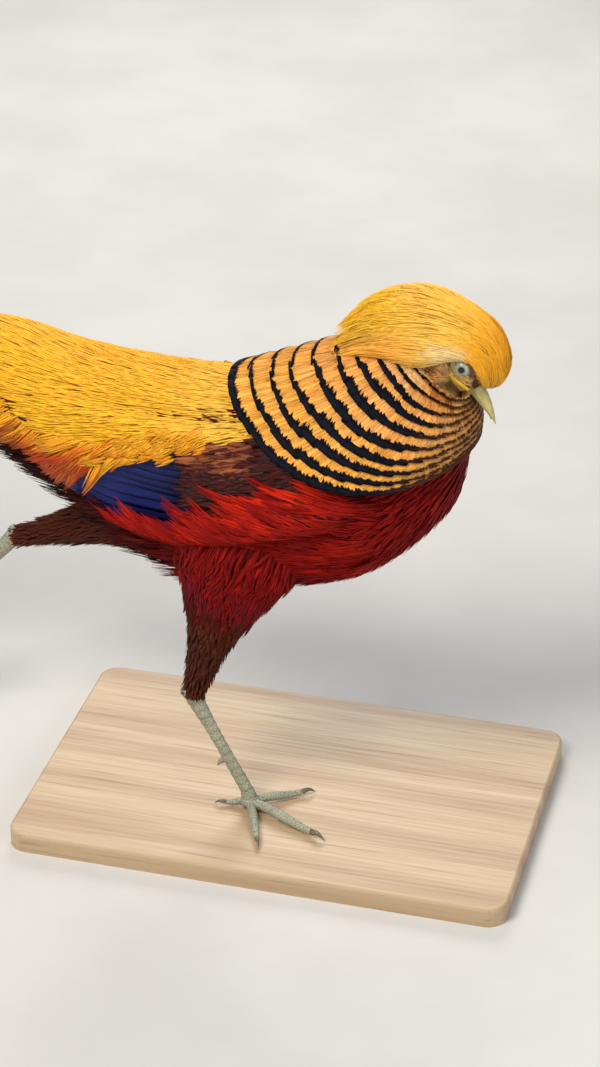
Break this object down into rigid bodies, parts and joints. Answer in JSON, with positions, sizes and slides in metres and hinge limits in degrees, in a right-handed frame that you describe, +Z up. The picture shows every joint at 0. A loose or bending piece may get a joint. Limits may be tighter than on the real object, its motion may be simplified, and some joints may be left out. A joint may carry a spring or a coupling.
{
  "type": "golden pheasant model",
  "caption": "Life-size still golden pheasant cock running on one foot, head lowered, long tail raised behind, on a plain flat display base.",
  "frame": {"origin": "the centre of the display base's underside, on the surface that the model rests on", "axes": "+X the way the bird runs, +Y its left side, +Z up"},
  "size_m": [1.0341, 0.19, 0.3957],
  "materials": {
    "body_feathers": "soft",
    "cape_feathers": "satin",
    "crest_feathers": "silky",
    "wing_feathers": "satin",
    "tail_feathers": "satin",
    "leg_feathers": "soft",
    "leg_scales": "satin",
    "bill": "satin",
    "claw": "satin",
    "eye": "gloss",
    "base_wood": "satin"
  },
  "bodies": {
    "root": {"torso": "body_feathers", "neck": "cape_feathers", "head": "crest_feathers", "eye_right": "eye", "eye_left": "eye", "bill_upper": "bill", "bill_lower": "bill", "wing_right": "wing_feathers", "wing_left": "wing_feathers", "tail": "tail_feathers", "thigh_right": "leg_feathers", "thigh_left": "leg_feathers", "shank_right": "leg_scales", "shank_left": "leg_scales", "foot_right": "leg_scales", "foot_left": "leg_scales", "claw_right_middle": "claw", "claw_right_outer": "claw", "claw_right_inner": "claw", "claw_right_hind": "claw", "claw_left_middle": "claw", "claw_left_outer": "claw", "claw_left_inner": "claw", "claw_left_hind": "claw", "stand_base": "base_wood"}
  },
  "joints": []
}
